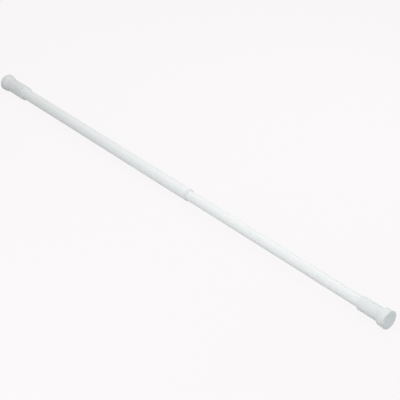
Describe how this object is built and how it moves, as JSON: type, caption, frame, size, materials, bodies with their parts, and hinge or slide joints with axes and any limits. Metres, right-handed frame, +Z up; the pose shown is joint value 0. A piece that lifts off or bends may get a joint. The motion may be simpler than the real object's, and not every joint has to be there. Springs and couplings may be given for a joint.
{
  "type": "spring tension rod",
  "caption": "Telescoping round curtain rod with flared, padded end caps, locked by a twist cam and held between walls by an inner spring.",
  "frame": {"origin": "centre of the outer tube's wall face, on the rod's axis, where its pad's land meets the wall", "axes": "+X runs along the rod from the outer tube's pad to the inner tube's pad, +Z is up when the rod is fitted level, and the cam's eccentric journal points to +Z at rest"},
  "size_m": [0.9252, 0.0292, 0.0292],
  "materials": {
    "tube_enamel": "white enamel baked on a thin steel tube, satin to semi-gloss",
    "cap_vinyl": "soft white vinyl, moulded, satin",
    "pad_rubber": "pale grey soft pad, matt",
    "collar_plastic": "white moulded plastic, semi-gloss",
    "cam_nylon": "natural nylon, moulded",
    "plated_steel": "bright zinc plate",
    "spring_steel": "drawn spring wire, dark"
  },
  "bodies": {
    "outer_section": {"outer_tube": "tube_enamel", "outer_cap": "cap_vinyl", "outer_pad": "pad_rubber", "mouth_collar": "collar_plastic"},
    "cam_ring": {"lock_ring": "cam_nylon"},
    "plunger": {"cam_spindle": "cam_nylon", "guide_rod": "plated_steel", "spindle_pin": "spring_steel", "stop_washer": "plated_steel", "retaining_clip": "spring_steel"},
    "inner_section": {"tube_bush": "cam_nylon", "pressure_spring": "spring_steel", "spring_seat": "cam_nylon", "inner_tube": "tube_enamel", "inner_cap": "cap_vinyl", "inner_pad": "pad_rubber"}
  },
  "joints": [
    {"name": "length_slide", "type": "slide", "parent": "outer_section", "child": "cam_ring", "axis": [1, 0, 0], "range_m": [-0.312, 0.108]},
    {"name": "lock_twist", "type": "hinge", "parent": "cam_ring", "child": "plunger", "pos_m": [0.3329, 0, 0], "axis": [1, 0, 0], "range_deg": [0, 90]},
    {"name": "spring_stroke", "type": "slide", "parent": "plunger", "child": "inner_section", "axis": [1, 0, 0], "range_m": [-0.032, 0], "stiffness_N_per_m": 1670, "springref_m": 0.01, "deforming": ["pressure_spring"]}
  ]
}
